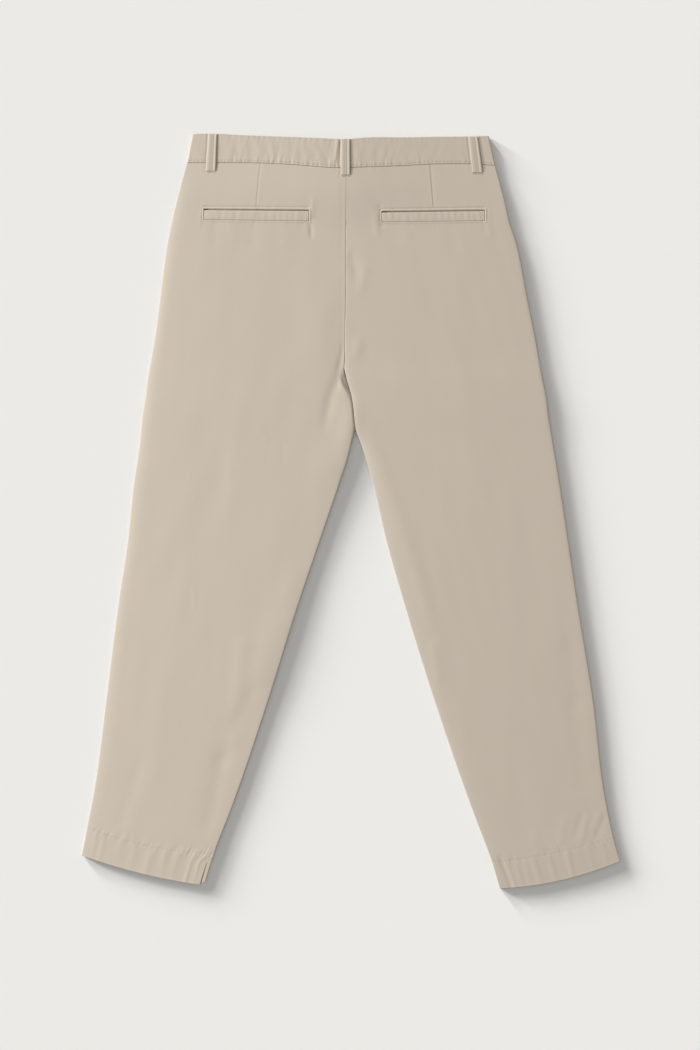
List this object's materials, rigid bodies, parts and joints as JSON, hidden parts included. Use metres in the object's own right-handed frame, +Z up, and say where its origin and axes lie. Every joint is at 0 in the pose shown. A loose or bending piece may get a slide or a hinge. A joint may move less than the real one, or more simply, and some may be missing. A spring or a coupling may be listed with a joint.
{
  "type": "chino trousers",
  "caption": "Chino trousers laid flat face down with the legs slightly apart: folded waistband with belt loops, darts, welt back pockets and turned-up hems; worn on hips and legs.",
  "frame": {"origin": "on the surface that the trousers lie on, under the middle of their bounding box", "axes": "+Y from the hems to the waist, +Z up, away from the surface and out of the seat side, +X to the wearer's right"},
  "size_m": [0.7454, 1.0447, 0.0106],
  "materials": {
    "cotton_twill": "matt",
    "button": "satin"
  },
  "bodies": {
    "root": {"back_left": "cotton_twill", "back_right": "cotton_twill", "front_left": "cotton_twill", "front_right": "cotton_twill", "pocket_side_left": "cotton_twill", "pocket_side_right": "cotton_twill", "waistband_left": "cotton_twill", "waistband_right": "cotton_twill", "welt_left": "cotton_twill", "welt_right": "cotton_twill", "belt_loop_back_left": "cotton_twill", "belt_loop_back_centre": "cotton_twill", "belt_loop_back_right": "cotton_twill", "belt_loop_front_left": "cotton_twill", "belt_loop_front_right": "cotton_twill", "fly_shield": "cotton_twill", "button": "button"}
  },
  "joints": []
}
